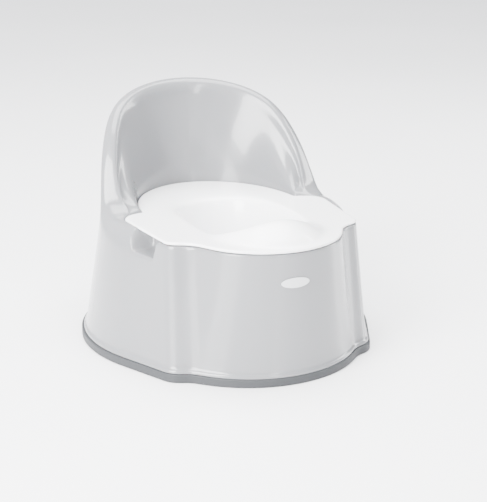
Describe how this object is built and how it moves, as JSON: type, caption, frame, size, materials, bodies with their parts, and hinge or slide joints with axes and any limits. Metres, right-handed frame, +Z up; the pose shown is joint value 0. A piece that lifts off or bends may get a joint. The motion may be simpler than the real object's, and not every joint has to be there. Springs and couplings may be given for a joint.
{
  "type": "potty training chair",
  "caption": "Toddler potty chair: a one-piece shell with a high wrap-around back, a lift-out bowl with a splash guard and side grips, and a soft grip ring round its foot.",
  "frame": {"origin": "centre of the footprint's bounding box, on the floor", "axes": "+Z up, front of the seat towards -Y, +X to the sitter's left"},
  "size_m": [0.3259, 0.3517, 0.2666],
  "materials": {
    "shell_plastic": "smooth glossy moulded polypropylene, light grey",
    "bowl_plastic": "smooth glossy moulded polypropylene, white",
    "grip_rubber": "matt thermoplastic elastomer, mid grey",
    "badge_plastic": "pale satin inlay, blank"
  },
  "bodies": {
    "chair": {"chair_shell": "shell_plastic", "grip_ring": "grip_rubber", "front_badge": "badge_plastic"},
    "bowl": {"lift_out_bowl": "bowl_plastic"}
  },
  "joints": [
    {"name": "bowl_lift", "type": "slide", "parent": "chair", "child": "bowl", "axis": [0, 0, 1], "range_m": [0, 0.24]}
  ]
}
